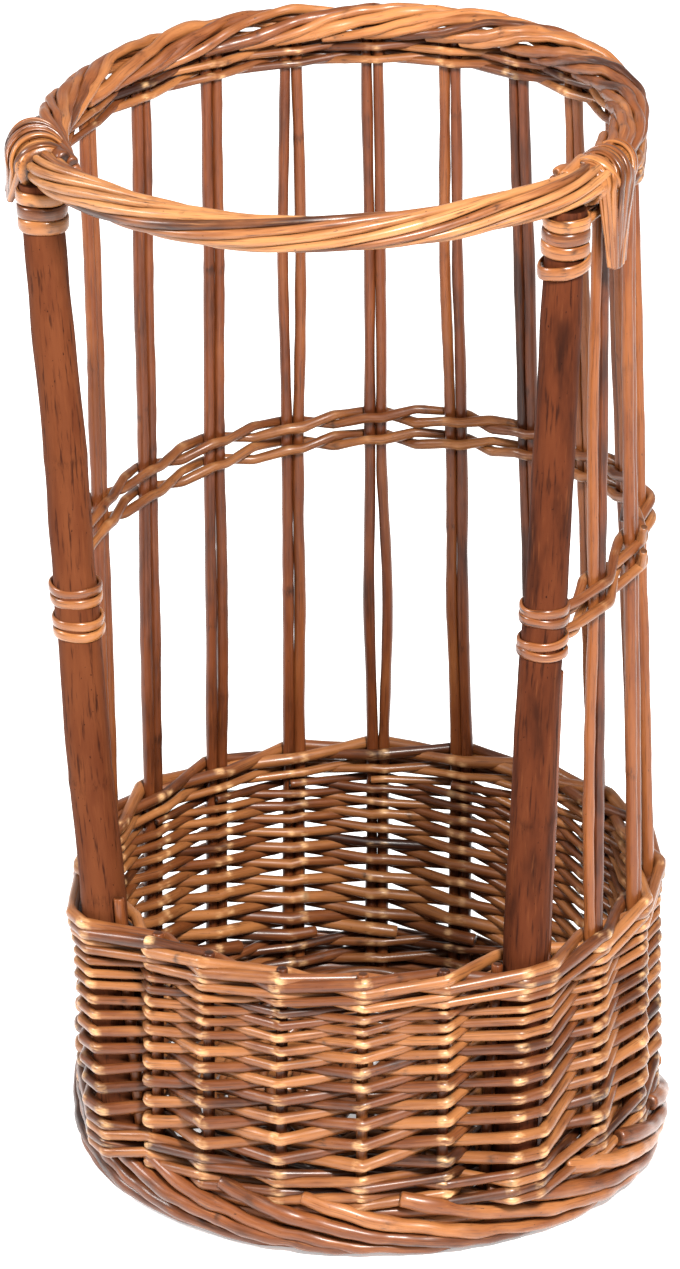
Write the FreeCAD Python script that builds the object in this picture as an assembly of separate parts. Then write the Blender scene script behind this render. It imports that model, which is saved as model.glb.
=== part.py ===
"""Wicker umbrella stand: a woven tub, an open cage of paired stakes, two thick posts and a rim.

Frame: origin on the floor under the middle of the whole stand, +Z up, the open front faces -Y.
Millimetres. Everything is first laid out about the middle of the foot, then moved by FOOT_MIDDLE.
Angles named "phi" go round the stand from the front (-Y) towards +X.
The rods touch in the real basket; here they stand a few tenths apart.
"""
import FreeCAD, Part
import math
import os

V = FreeCAD.Vector

# Whole stand
FOOT_MIDDLE = V(7.8, -0.8, 0.0)   # from the origin; the stand leans the other way
RIM_Z = 534.5             # height of the rim's centre line
LEAN = 14.5               # the rim's centre stands this far towards -X of the foot's
TUB_TOP_Z = 150.0         # up to here the wall stands nearly straight
TUB_LEAN = 0.9            # towards +X at the top of the tub
RIM_TILT_X = 0.04         # the rim rises towards +X
RIM_TILT_Y = 0.025        # and a little towards the back
RIM_R = 139.0             # rim, to its centre line
GAP = 0.25                # between rods that touch

# Uprights
STAKES = 20               # places round the wall: post, thirteen pairs, post, five short stakes
LEFT_POST = 14            # place of the left post; the right one has place 0
FIRST_PHI = 45.0
STAKE_STEP = 360.0 / STAKES
LAST_PAIR_SHIFT = 5.0     # the last pair stands nearer to the left post
SHORT_STAKE_PHI = [-37.5, -23.5, -7.0, 9.5, 26.0]
STAKE_RADIUS = 2.95
STAKE_FOOT_R = 138.0
STAKE_RIM_R = 141.0
STAKE_BOTTOM_Z = 10.0
PAIR_HALF_GAP = 3.1       # each rod of a pair stands this far from the pair's middle
SHORT_STAKE_TOP_Z = 150.0
HEAD_SPREAD = 0.919       # the pairs draw together towards the back as they rise
HEAD_TWIST = 4.0          # degrees that the back pairs turn as they rise
POST_RADIUS = 11.0
POST_FOOT_Z = 25.0
POST_HEAD_Z = 512.0
# radius and phi at the foot and at the head, -1 the left post and 1 the right one
POST_LINE = {-1: (140.0, -48.4, 148.0, -64.0), 1: (140.0, 40.9, 145.0, 57.8)}
LINER_OFFSET = 13.9       # side rod to post along the wall, centre to centre
LINER_INSET = 2.8         # and inwards
LEFT_FRONT_LINER_TOP = 160.0
RIGHT_FRONT_LINER_TOP = 147.0
RIGHT_BACK_LINER_TOP = 292.0

# Foot border: each rod runs down and along under the next ones
FOOT_ROD_RADIUS = 2.8
# stake spacings along, radius, z
FOOT_PATH = [
    (0.0, 145.6, 20.6),
    (0.95, 146.3, 14.8),
    (1.9, 146.3, 8.8),
    (2.8, 144.6, 3.2),
    (3.5, 137.6, 2.5),
]

# Base
BASE_STICK_RADIUS = 3.25
BASE_STICK_PITCH = 7.4
BASE_Z = 20.8             # level of the fanned-out sticks
BASE_R = 131.0
BASE_FAN_R = 42.0
BASE_ROD_RADIUS = 2.3
BASE_RINGS = 17
BASE_FIRST_RING_R = 44.0
BASE_RING_PITCH = 4.9

# Wall
WALE_ROD_RADIUS = 2.75
LOWER_WALE_Z = [32.0, 37.7, 43.4]
RAND_ROD_RADIUS = 2.15
RAND_FIRST_Z = 48.6
RAND_STROKES = 10
RAND_RISE = 9.0           # rise for each stroke of two stake spacings
TOP_WALE_ROD_RADIUS = 3.0
TOP_WALE_Z = [140.6, 146.8]
BEND_RADIUS = 6.0

# Middle band
BAND_ROD_RADIUS = 2.2
BAND_Z = 311.0
# angle, rise of the band above BAND_Z there; it starts at the right post and ends at the left one
BAND_LIFT = [
    (43.0, 4.0),
    (63.0, 14.0),
    (99.0, 24.0),
    (135.0, 16.0),
    (171.0, 14.0),
    (207.0, 8.5),
    (243.0, 2.0),
    (306.0, -5.0),
]
# level above the band's middle, side of the first pair it passes (1 outside, -1 inside)
BAND_LEVELS = {
    "band_rod_1": (9.4, 1),
    "band_rod_2": (4.6, -1),
    "band_rod_3": (-4.6, 1),
    "band_rod_4": (-9.4, -1),
}

# Rim
UPPER_WALE_ROD_RADIUS = 3.0
UPPER_WALE_DROP = 14.0    # below the rim's centre line
UPPER_WALE_OFFSET = 6.7
BORDER_RADIUS = 9.5
FRONT_BAR_RADIUS = 9.2
CAP_PHI = 62.0            # where the front bar and the border meet
BORDER_LAP = 1.0

# Bindings
SKEIN_THICKNESS = 1.7
BAND_SKEIN_WIDTH = 4.4
BAND_WRAP_LEVELS = [11.4, 6.6, -6.6, -11.4]
HEAD_SKEIN_WIDTH = 6.6
HEAD_WRAP_DROP = [4.2, 11.1, 18.0]     # middle of each flat turn below the head of the post
HEAD_WRAP_LOOSE_DROP = 25.8            # the right post has one more
CAP_SKEIN_RADIUS = 1.75
CAP_TURNS = 9
CAP_TURN_STEP = 1.62      # degrees
CAP_MIDDLE_PHI = 67.5
CAP_OPEN = 96.0           # degrees left open under each turn, over the head of the post


def lerp(a, b, t):
    return a + (b - a) * t


def lean_x(z):
    """Sideways shift of the stand's axis at height z."""
    if z < TUB_TOP_Z:
        return TUB_LEAN * z / TUB_TOP_Z
    return TUB_LEAN - (LEAN + TUB_LEAN) * (z - TUB_TOP_Z) / (RIM_Z - TUB_TOP_Z)


def polar(radius, phi, z):
    """Point at an angle round the leaning axis."""
    a = math.radians(phi)
    return V(lean_x(z) + radius * math.sin(a), -radius * math.cos(a), z)


def head_phi(phi):
    """Angle at the rim of a stake that stands at phi in the wall."""
    turn = HEAD_TWIST * math.sin(math.pi * (phi - 110.0) / 190.0) if phi > 110.0 else 0.0
    return 180.0 + HEAD_SPREAD * (phi - 180.0) - turn


def pair_phi(index):
    """Angle of a pair in the wall."""
    return FIRST_PHI + STAKE_STEP * index + (LAST_PAIR_SHIFT if index == LEFT_POST - 1 else 0.0)


def stake_point(phi, z):
    """Centre of a pair at height z: upright in the wall, then straight to the rim."""
    if z < TUB_TOP_Z:
        return polar(STAKE_FOOT_R, phi, z)
    knee = polar(STAKE_FOOT_R, phi, TUB_TOP_Z)
    head = polar(STAKE_RIM_R, head_phi(phi), RIM_Z)
    return lerp(knee, head, (z - TUB_TOP_Z) / (RIM_Z - TUB_TOP_Z))


def short_stake_point(phi, z):
    return polar(STAKE_FOOT_R, phi, z)


def post_point(side, z):
    """Centre of a post at height z. side is 1 for the right post and -1 for the left one."""
    foot_r, foot_phi, head_r, head_angle = POST_LINE[side]
    foot = polar(foot_r, foot_phi, POST_FOOT_Z)
    head = polar(head_r, head_angle, POST_HEAD_Z)
    return lerp(foot, head, (z - POST_FOOT_Z) / (POST_HEAD_Z - POST_FOOT_Z))


def place(index):
    """What stands at a place of the wall: a function of z, half its width and how far it reaches out."""
    index = index % STAKES
    if index == 0:
        return (lambda z: post_point(1, z)), 7.5, POST_RADIUS
    if index == LEFT_POST:
        return (lambda z: post_point(-1, z)), 7.5, POST_RADIUS
    if index > LEFT_POST:
        phi = SHORT_STAKE_PHI[index - LEFT_POST - 1]
        return (lambda z: short_stake_point(phi, z)), 1.2, STAKE_RADIUS
    beside_post = 1.6 if index in (1, LEFT_POST - 1) else 0.0
    return (lambda z: stake_point(pair_phi(index), z)), PAIR_HALF_GAP + beside_post, STAKE_RADIUS


def directions(point):
    """Outward and along-the-wall unit vectors at a point."""
    out = V(point.x - lean_x(point.z), point.y, 0)
    out.normalize()
    return out, V(-out.y, out.x, 0)


def rod(points, radius, bend=BEND_RADIUS):
    """Round rod along straight runs joined by tangent arcs."""
    edges = []
    start = points[0]
    for i in range(1, len(points) - 1):
        here = points[i]
        back = points[i - 1] - here
        ahead = points[i + 1] - here
        room = 0.45 * min(back.Length, ahead.Length)
        back.normalize()
        ahead.normalize()
        half_turn = (math.pi - back.getAngle(ahead)) / 2.0
        if half_turn < 0.004:
            continue
        cut = min(room, bend * math.tan(half_turn))
        sagitta = cut / math.tan(half_turn) * (1.0 / math.cos(half_turn) - 1.0)
        inward = back + ahead
        inward.normalize()
        arc_start = here + back * cut
        arc_end = here + ahead * cut
        edges.append(Part.LineSegment(start, arc_start).toShape())
        edges.append(Part.Arc(arc_start, here + inward * sagitta, arc_end).toShape())
        start = arc_end
    edges.append(Part.LineSegment(start, points[-1]).toShape())
    path = Part.Wire(edges)
    end = Part.Wire(Part.makeCircle(radius, points[0], points[1] - points[0]))
    return path.makePipeShell([end], True, False)


def straight_rod(foot, head, radius):
    return Part.makeCylinder(radius, (head - foot).Length, foot, head - foot)


def weave_points(strokes, radius):
    """Corners of a rod that passes the given places: (place, z, 1 outside or -1 inside)."""
    points = []
    for index, z, side in strokes:
        at, half_width, reach = place(index)
        middle = at(z)
        out, along = directions(middle)
        off = out * (side * (reach + radius + GAP + (0.5 if side > 0 else 0.0)))
        points.append(middle + off - along * half_width)
        points.append(middle + off + along * half_width)
    return points


def rim_height(point):
    """Height of the rim's centre line above or below a point."""
    return RIM_Z + RIM_TILT_X * (point.x - lean_x(RIM_Z)) + RIM_TILT_Y * point.y


def rim_placement():
    """Moves a flat ring about the origin onto the tilted rim."""
    normal = V(-RIM_TILT_X, -RIM_TILT_Y, 1.0)
    return FreeCAD.Placement(V(lean_x(RIM_Z), 0, RIM_Z), FreeCAD.Rotation(V(0, 0, 1), normal))


def rim_arc(radius, first_phi, last_phi):
    """Length of the rim's tube between two angles."""
    tube = Part.makeTorus(RIM_R, radius, V(0, 0, 0), V(0, 0, 1), -180.0, 180.0, last_phi - first_phi)
    tube.rotate(V(0, 0, 0), V(0, 0, 1), first_phi - 90.0)
    tube.Placement = rim_placement().multiply(tube.Placement)
    return tube


def on_rim(phi):
    """Point and direction of the rim's centre line."""
    a = math.radians(phi)
    frame = rim_placement()
    point = frame.multVec(V(RIM_R * math.sin(a), -RIM_R * math.cos(a), 0))
    along = frame.Rotation.multVec(V(math.cos(a), math.sin(a), 0))
    return point, along


def post_top(side):
    """Height of a post's head, under the rim."""
    return rim_height(post_point(side, POST_HEAD_Z)) - BORDER_RADIUS - 3.0 * GAP


def posts():
    made = {}
    for side, name in ((-1, "post_left"), (1, "post_right")):
        foot = post_point(side, POST_FOOT_Z)
        head = post_point(side, post_top(side))
        made[name] = [straight_rod(foot, head, POST_RADIUS)]
    return made


def stakes():
    """Thirteen long pairs and five short stakes between the posts."""
    made = {}
    for index in range(1, LEFT_POST):
        phi = pair_phi(index)
        top = rim_height(stake_point(phi, RIM_Z)) - BORDER_RADIUS - 2.0 * GAP
        middles = [stake_point(phi, z) for z in (STAKE_BOTTOM_Z, TUB_TOP_Z, top)]
        sides = [directions(middle)[1] * PAIR_HALF_GAP for middle in middles]
        made["stake_pair_%02d" % index] = [
            rod([middle + side * turn for middle, side in zip(middles, sides)], STAKE_RADIUS, 100.0)
            for turn in (-1, 1)
        ]
    for number, phi in enumerate(SHORT_STAKE_PHI, 1):
        foot = short_stake_point(phi, STAKE_BOTTOM_Z)
        head = short_stake_point(phi, SHORT_STAKE_TOP_Z)
        made["front_stake_%d" % number] = [straight_rod(foot, head, STAKE_RADIUS)]
    return made


def post_liners():
    """Side rods that stand against the posts."""
    solids = []
    for side, turn, top in (
        (-1, 1, LEFT_FRONT_LINER_TOP),
        (1, -1, RIGHT_FRONT_LINER_TOP),
        (1, 1, RIGHT_BACK_LINER_TOP),
    ):
        ends = []
        for z in (POST_FOOT_Z, top):
            middle = post_point(side, z)
            out, along = directions(middle)
            ends.append(middle + along * (turn * LINER_OFFSET) - out * LINER_INSET)
        solids.append(straight_rod(ends[0], ends[1], STAKE_RADIUS))
    return {"post_liners": solids}


def foot_border():
    """Twenty rods laid down and along, levelled to stand on the floor."""
    points = []
    for step, radius, z in FOOT_PATH:
        a = math.radians(step * STAKE_STEP)
        points.append(V(radius * math.sin(a), -radius * math.cos(a), z))
    first = rod(points, FOOT_ROD_RADIUS, 60.0)
    above_floor = Part.makeBox(400, 400, 60, V(-200, -200, 0))
    first = first.common(above_floor).Solids[0]
    solids = []
    for index in range(STAKES):
        copy = first.copy()
        copy.rotate(V(0, 0, 0), V(0, 0, 1), FIRST_PHI + STAKE_STEP * (index - 0.25))
        solids.append(copy)
    return {"foot_border": solids}


def base():
    """Eight sticks crossed four over four and fanned out, with the woven rings on and under them."""
    sticks = []
    for layer, turn in ((-1, 0.0), (1, 90.0)):
        for row in range(4):
            offset = (row - 1.5) * BASE_STICK_PITCH
            fan = math.radians((row - 1.5) * 22.5)
            ray = V(math.cos(fan), math.sin(fan), 0)
            cross_z = BASE_Z + layer * (BASE_STICK_RADIUS + GAP / 2.0)
            inner = 1.6 * BASE_STICK_PITCH + 6.0
            level = V(0, 0, BASE_Z)
            half = [V(inner, offset, cross_z), ray * BASE_FAN_R + level, ray * BASE_R + level]
            mirrored = [V(-p.x, p.y, p.z) for p in reversed(half)]
            stick = rod(mirrored + half, BASE_STICK_RADIUS, 20.0)
            stick.rotate(V(0, 0, 0), V(0, 0, 1), turn)
            sticks.append(stick)
    rings = []
    for number in range(BASE_RINGS):
        radius = BASE_FIRST_RING_R + BASE_RING_PITCH * number
        level = BASE_STICK_RADIUS + BASE_ROD_RADIUS + GAP
        z = BASE_Z + (level if number % 2 else -level)
        rings.append(Part.makeTorus(radius, BASE_ROD_RADIUS, V(0, 0, z)))
    return {"base_sticks": sticks, "base_weave": rings}


def wale_round(z, side, radius):
    """One round of a wale, on one side of every upright. Its ends butt at the back."""
    strokes = [(index, z, side) for index in range(8, 8 + STAKES)]
    points = weave_points(strokes, radius)
    return rod(points + [points[0] + (points[-1] - points[0]) * 0.02], radius)


def wales():
    lower = [wale_round(z, side, WALE_ROD_RADIUS) for z in LOWER_WALE_Z for side in (1, -1)]
    top = [wale_round(z, side, TOP_WALE_ROD_RADIUS) for z in TOP_WALE_Z for side in (1, -1)]
    return {"lower_wale": lower, "top_wale": top}


def randing():
    """Twenty rods, each starting behind its own place and climbing once round the wall."""
    made = {}
    for start in range(STAKES):
        strokes = [(start, RAND_FIRST_Z, -1)]
        for step in range(1, STAKES + 1):
            z = RAND_FIRST_Z + RAND_RISE * (step - 1) / 2.0
            strokes.append((start + step, z, 1 if step % 2 else -1))
        points = weave_points(strokes, RAND_ROD_RADIUS)
        butt = lerp(points[1], points[2], 0.8)
        made["randing_rod_%02d" % (start + 1)] = [rod([butt] + points[2:], RAND_ROD_RADIUS)]
    return made


def band_height(phi):
    """Height of the middle band's centre line where it passes the angle phi."""
    for (phi_a, lift_a), (phi_b, lift_b) in zip(BAND_LIFT, BAND_LIFT[1:]):
        if phi <= phi_b:
            return BAND_Z + lift_a + (lift_b - lift_a) * (phi - phi_a) / (phi_b - phi_a)
    return BAND_Z + lift_b


def band_height_at_post(side):
    return band_height(BAND_LIFT[0][0] if side > 0 else BAND_LIFT[-1][0])


def middle_band():
    """Four rods that pair round the long stakes, from post to post behind the open front."""
    made = {}
    for name, (level, first_side) in BAND_LEVELS.items():
        strokes = []
        for index in range(1, LEFT_POST):
            z = band_height(pair_phi(index)) + level
            strokes.append((index, z, first_side if index % 2 else -first_side))
        points = weave_points(strokes, BAND_ROD_RADIUS)
        for side, turn in ((1, 1), (-1, -1)):
            middle = post_point(side, band_height_at_post(side) + level)
            out, along = directions(middle)
            end = middle + along * (turn * (POST_RADIUS + 6.0)) + out * (4.0 * first_side * turn)
            points = [end] + points if side > 0 else points + [end]
        made[name] = [rod(points, BAND_ROD_RADIUS)]
    return made


def upper_wale():
    """Outer and inner rod under the border."""
    solids = []
    for side in (1, -1):
        points = []
        for index in range(1, LEFT_POST):
            point = stake_point(pair_phi(index), RIM_Z - UPPER_WALE_DROP)
            rise = V(0, 0, rim_height(point) - RIM_Z)
            points.append(point + directions(point)[0] * (side * UPPER_WALE_OFFSET) + rise)
        solids.append(rod(points, UPPER_WALE_ROD_RADIUS, 40.0))
    return {"upper_wale": solids}


def rim():
    return {
        "rim_border": [rim_arc(BORDER_RADIUS, CAP_PHI + BORDER_LAP, 360.0 - CAP_PHI - BORDER_LAP)],
        "front_bar": [rim_arc(FRONT_BAR_RADIUS, -CAP_PHI, CAP_PHI)],
    }


def turn_on_post(side, z, width):
    """One flat turn of binding round a post."""
    axis = post_point(side, z + 1.0) - post_point(side, z)
    axis.normalize()
    foot = post_point(side, z) - axis * (width / 2.0)
    inner = Part.makeCylinder(POST_RADIUS + GAP, width, foot, axis)
    outer = Part.makeCylinder(POST_RADIUS + GAP + SKEIN_THICKNESS, width, foot, axis)
    return outer.cut(inner).Solids[0]


def turn_on_rim(phi):
    """One turn of binding over the rim, open underneath."""
    point, along = on_rim(phi)
    radius = BORDER_RADIUS + GAP + CAP_SKEIN_RADIUS
    sweep = 360.0 - CAP_OPEN
    turn = Part.makeTorus(radius, CAP_SKEIN_RADIUS, V(0, 0, 0), V(0, 0, 1), -180.0, 180.0, sweep)
    turn.rotate(V(0, 0, 0), V(0, 0, 1), CAP_OPEN / 2.0)
    across = V(along.y, -along.x, 0)
    across.normalize()
    straddling = FreeCAD.Placement(point, FreeCAD.Rotation(V(0, 0, -1), across, along, "ZXY"))
    turn.Placement = straddling.multiply(turn.Placement)
    return turn


def bindings():
    made = {}
    for side, name in ((-1, "left"), (1, "right")):
        made["band_wrap_" + name] = [
            turn_on_post(side, band_height_at_post(side) + level, BAND_SKEIN_WIDTH)
            for level in BAND_WRAP_LEVELS
        ]
        drops = HEAD_WRAP_DROP + [HEAD_WRAP_LOOSE_DROP] if side > 0 else HEAD_WRAP_DROP
        made["head_wrap_" + name] = [
            turn_on_post(side, post_top(side) - drop, HEAD_SKEIN_WIDTH) for drop in drops
        ]
        first = CAP_MIDDLE_PHI - (CAP_TURNS - 1) / 2.0 * CAP_TURN_STEP
        made["cap_binding_" + name] = [
            turn_on_rim(side * (first + CAP_TURN_STEP * turn)) for turn in range(CAP_TURNS)
        ]
    return made


def main():
    nodes = {}
    uprights = (posts, stakes, post_liners)
    weave = (foot_border, base, wales, randing, middle_band, upper_wale)
    for maker in uprights + weave + (rim, bindings):
        nodes.update(maker())
    os.makedirs("parts", exist_ok=True)
    for name, solids in nodes.items():
        shape = solids[0] if len(solids) == 1 else Part.makeCompound(solids)
        shape.translate(FOOT_MIDDLE)
        shape.exportStep("parts/%s.step" % name)
    print(len(nodes), "nodes")


main()
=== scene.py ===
"""Looks of the wicker umbrella stand: every rod of the weave, bent, tapered and finished.

The layout is in millimetres about the middle of the foot. Bundle.build moves it into the part's own
frame and writes the meshes in metres. "phi" goes round the stand from the front (-Y) towards +X, and
"side" is -1 at the left post and 1 at the right one.
"""
import math
import random

import bpy
import numpy as np
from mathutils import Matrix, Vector


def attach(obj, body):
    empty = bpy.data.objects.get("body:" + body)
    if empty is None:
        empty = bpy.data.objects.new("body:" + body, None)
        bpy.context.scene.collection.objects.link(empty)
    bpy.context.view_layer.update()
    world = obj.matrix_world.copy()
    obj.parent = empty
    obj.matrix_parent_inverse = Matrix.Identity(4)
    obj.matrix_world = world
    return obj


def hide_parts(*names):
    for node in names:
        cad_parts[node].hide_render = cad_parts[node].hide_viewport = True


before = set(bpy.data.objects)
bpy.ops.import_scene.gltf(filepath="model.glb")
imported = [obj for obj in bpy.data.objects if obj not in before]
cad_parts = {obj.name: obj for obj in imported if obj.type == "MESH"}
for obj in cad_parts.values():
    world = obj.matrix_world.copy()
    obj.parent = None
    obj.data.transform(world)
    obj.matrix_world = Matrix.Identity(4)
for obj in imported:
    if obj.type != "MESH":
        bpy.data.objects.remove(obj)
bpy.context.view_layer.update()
rng = random.Random(20)
TAU = 2.0 * math.pi

# ---------------------------------------------------------------- layout of the stand
FOOT_MIDDLE = Vector((7.8, -0.8, 0.0))   # in the part's own frame
RIM_Z = 534.5             # height of the rim's centre line in its middle
LEAN = 14.5               # how far the rim stands to the left of the foot
TUB_TOP_Z = 150.0
TUB_LEAN = 0.9            # how far the tub's top stands to the right of the foot
RIM_TILT_X = 0.04         # rise of the rim for each millimetre to the right
RIM_TILT_Y = 0.025        # and for each millimetre to the back
RIM_R = 139.0
STAKES = 20               # places round the wall: posts, pairs and short stakes
LEFT_POST = 14            # place of the left post; the right one is place 0
FIRST_PHI = 45.0
STAKE_STEP = 360.0 / STAKES
STAKE_RADIUS = 2.95
STAKE_FOOT_R = 138.0      # distance of the stakes from the middle, in the tub
STAKE_RIM_R = 141.0       # and at the rim
LAST_PAIR_SHIFT = 5.0     # degrees that the last pair stands nearer to the left post
SHORT_STAKE_PHI = [-37.5, -23.5, -7.0, 9.5, 26.0]
STAKE_BOTTOM_Z = 10.0
PAIR_HALF_GAP = 3.1
SHORT_HALF_WIDTH = 0.9    # half the width that a weaver keeps straight at a short stake
HEAD_SPREAD = 0.919       # the pairs stand closer together at the rim than in the tub
HEAD_TWIST = 4.0          # and they lean round the stand on the left
POST_RADIUS = 11.0
POST_HALF_WIDTH = 7.5
POST_TAPER = {-1: (11.9, 10.4), 1: (11.9, 9.6)}           # radius at the floor and at the rim
POST_FOOT_Z = 25.0
POST_HEAD_Z = 512.0
POST_LINE = {             # distance and phi at the post's foot, then at its head
    -1: (140.0, -48.4, 148.0, -64.0),
    1: (140.0, 40.9, 145.0, 57.8),
}
POST_GAP = 0.75           # between a post's head and the rim's border
BORDER_RADIUS = 9.5
BAND_Z = 311.0
BAND_LIFT = [             # phi, rise of the band above BAND_Z there, from the right post to the left one
    (43.0, 4.0), (63.0, 14.0), (99.0, 24.0), (135.0, 16.0), (171.0, 14.0), (207.0, 8.5), (243.0, 2.0),
    (306.0, -5.0),
]
RIGHT_WRAP_LIFT = 4.0     # the band's binding sits this much higher on the right post
LINERS = [(-1, 1, 160.0), (1, -1, 147.0), (1, 1, 292.0)]  # post's side, which side of it, height of the top
BASE_Z = 20.8             # the floor's middle plane

# ---------------------------------------------------------------- weave, rod by rod
WEAVER_BUTT = 3.15        # radius of a weaver where it starts, near the foot
WEAVER_TIP = 2.0
WEAVE_FIRST_Z = 50.0
WEAVE_RISE = 5.72         # rise for each stake at the foot, less higher up
WEAVE_RISE_LOSS = 0.0765
LOWER_WALE = [(27.6, 4.7, 2.65), (36.9, 4.6, 2.55)]       # level, step up along a stroke, rod radius
TOP_WALE = [(134.4, 4.2, 2.35), (142.6, 4.9, 3.1)]
UPPER_WALE = [(-21.0, 3.6, 2.15), (-14.0, 3.4, 2.1)]      # levels from the rim's centre line
KINK = 3.4                # how tightly a weaver bends round a stake
FOOT_SHIFT = 1.5          # the foot border sits this much to the right of the stakes
FOOT_SWEEP = [            # places on from the start, distance from the middle, height
    (-0.35, 142.6, 30.5), (0.0, 144.2, 26.5), (0.55, 145.0, 20.0), (1.3, 145.0, 13.0), (2.1, 144.4, 7.4),
    (2.9, 142.8, 4.0), (3.5, 139.0, 3.6),
]
FOOT_RINGS = [            # distance from the middle, height, rod radius
    (139.6, 22.6, 3.3), (139.4, 16.2, 3.6), (139.0, 9.4, 3.6), (135.0, 20.0, 3.4),
]
SLATH_PITCH = 7.4         # between the floor's sticks where they lie side by side
SLATH_HALF = 17.8         # how far from the middle they stay side by side
FLOOR_FAN_R = 42.0        # where they point to their own parts of the wall
FLOOR_STICK_R = 131.0
FLOOR_STICK_RADIUS = 3.2
FLOOR_RINGS = 19
FLOOR_RING_R = 44.0       # distance of the first ring from the middle
FLOOR_RING_PITCH = 4.9
FLOOR_RING_LIFT = 4.6
SLATH_RINGS = 5           # rings that tie the sticks together in fours
SLATH_RING_R = 22.5
SLATH_RING_PITCH = 4.4
SLATH_RING_LIFT = 7.6
BAND_ROWS = {             # level of each band rod, and whether it starts outside (0) or inside (1)
    "band_rod_1": (5.9, 0),
    "band_rod_2": (5.9, 1),
    "band_rod_3": (-5.9, 0),
    "band_rod_4": (-5.9, 1),
}
LOOSE_ENDS = [(2, 1.0), (3, -1.0)]        # pair, and the way up or down that a rod's end sticks out there
BORDER_PITCH = 16.5       # degrees between the folded ends in the rim
BAR_ENDS = (-70.0, 68.0)  # phi
BAR_STRANDS = 9
BAR_TWIST = 2.9           # degrees of twist for each degree round the rim
BAR_SWING = 7.0           # how far the bar swings outwards on to the posts' heads
BAND_WRAPS = (10.9, 6.0, -5.6, -10.9)
HEAD_WRAPS = (3.6, 10.2, 16.9)            # turns of skein below the top of a post
LOOSE_WRAP = 25.6         # a looser turn lower down on the right post
WRAP_LAP = 20.0           # degrees that a turn's ends lap
CAPS = {
    # side: middle phi, spread, shift outwards and up of the turns' centre, their radius, point of the tail
    -1: (-70.0, 13.0, 7.5, -1.0, 13.3, (160.5, -70.0, 506.0)),
    1: (71.0, 12.0, 5.0, -2.5, 11.6, (153.0, 69.0, 493.0)),
}
CAP_TURNS = 19


def lean_x(z):
    """How far the stand's middle line is to the right of the foot's middle at the height z."""
    if z < TUB_TOP_Z:
        return TUB_LEAN * z / TUB_TOP_Z
    return TUB_LEAN - (LEAN + TUB_LEAN) * (z - TUB_TOP_Z) / (RIM_Z - TUB_TOP_Z)


def polar(radius, phi, z):
    a = math.radians(phi)
    return Vector((lean_x(z) + radius * math.sin(a), -radius * math.cos(a), z))


def head_phi(phi):
    """Where a pair that stands at phi in the tub meets the rim."""
    turn = HEAD_TWIST * math.sin(math.pi * (phi - 110.0) / 190.0) if phi > 110.0 else 0.0
    return 180.0 + HEAD_SPREAD * (phi - 180.0) - turn


def pair_phi(index):
    return FIRST_PHI + STAKE_STEP * index + (LAST_PAIR_SHIFT if index == LEFT_POST - 1 else 0.0)


def stake_point(phi, z):
    if z < TUB_TOP_Z:
        return polar(STAKE_FOOT_R, phi, z)
    knee = polar(STAKE_FOOT_R, phi, TUB_TOP_Z)
    head = polar(STAKE_RIM_R, head_phi(phi), RIM_Z)
    return knee.lerp(head, (z - TUB_TOP_Z) / (RIM_Z - TUB_TOP_Z))


def post_point(side, z):
    foot_r, foot_phi, head_r, head_angle = POST_LINE[side]
    foot = polar(foot_r, foot_phi, POST_FOOT_Z)
    head = polar(head_r, head_angle, POST_HEAD_Z)
    return foot.lerp(head, (z - POST_FOOT_Z) / (POST_HEAD_Z - POST_FOOT_Z))


def post_radius(side, z):
    """The posts taper a little towards their heads."""
    thick, thin = POST_TAPER[side]
    return thick + (thin - thick) * z / RIM_Z


def place(index):
    """A place of the wall: its point at height z, half its width and its reach outwards."""
    index = index % STAKES
    if index in (0, LEFT_POST):
        side = 1 if index == 0 else -1
        return (lambda z: post_point(side, z)), POST_HALF_WIDTH, POST_RADIUS
    if index > LEFT_POST:
        phi = SHORT_STAKE_PHI[index - LEFT_POST - 1]
        return (lambda z: polar(STAKE_FOOT_R, phi, z)), SHORT_HALF_WIDTH, STAKE_RADIUS
    return (lambda z: stake_point(pair_phi(index), z)), PAIR_HALF_GAP, STAKE_RADIUS


def directions(point):
    """Outwards from the stand's middle line, and along the wall the way phi grows."""
    out = Vector((point.x - lean_x(point.z), point.y, 0.0)).normalized()
    return out, Vector((-out.y, out.x, 0.0))


def rim_height(point):
    return RIM_Z + RIM_TILT_X * (point.x - lean_x(RIM_Z)) + RIM_TILT_Y * point.y


def post_top(side):
    return rim_height(post_point(side, POST_HEAD_Z)) - BORDER_RADIUS - POST_GAP


def band_height(phi):
    """Height of the band's centre line where it passes the angle phi."""
    for (phi_a, lift_a), (phi_b, lift_b) in zip(BAND_LIFT, BAND_LIFT[1:]):
        if phi <= phi_b:
            return BAND_Z + lift_a + (lift_b - lift_a) * (phi - phi_a) / (phi_b - phi_a)
    return BAND_Z + lift_b


def band_height_at_post(side):
    return band_height(BAND_LIFT[0][0] if side > 0 else BAND_LIFT[-1][0])


def band_wrap_height(side):
    return band_height_at_post(side) + (RIGHT_WRAP_LIFT if side > 0 else 0.0)


def rim_point(phi, beta=0.0, rho=0.0):
    """Point about the rim's centre line: beta is 0 outwards, 90 on top, 180 inwards."""
    a = math.radians(phi)
    b = math.radians(beta)
    out = Vector((math.sin(a), -math.cos(a), 0.0))
    flat = Vector((lean_x(RIM_Z), 0.0, 0.0)) + out * (RIM_R + rho * math.cos(b))
    return Vector((flat.x, flat.y, rim_height(flat) + rho * math.sin(b)))


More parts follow.
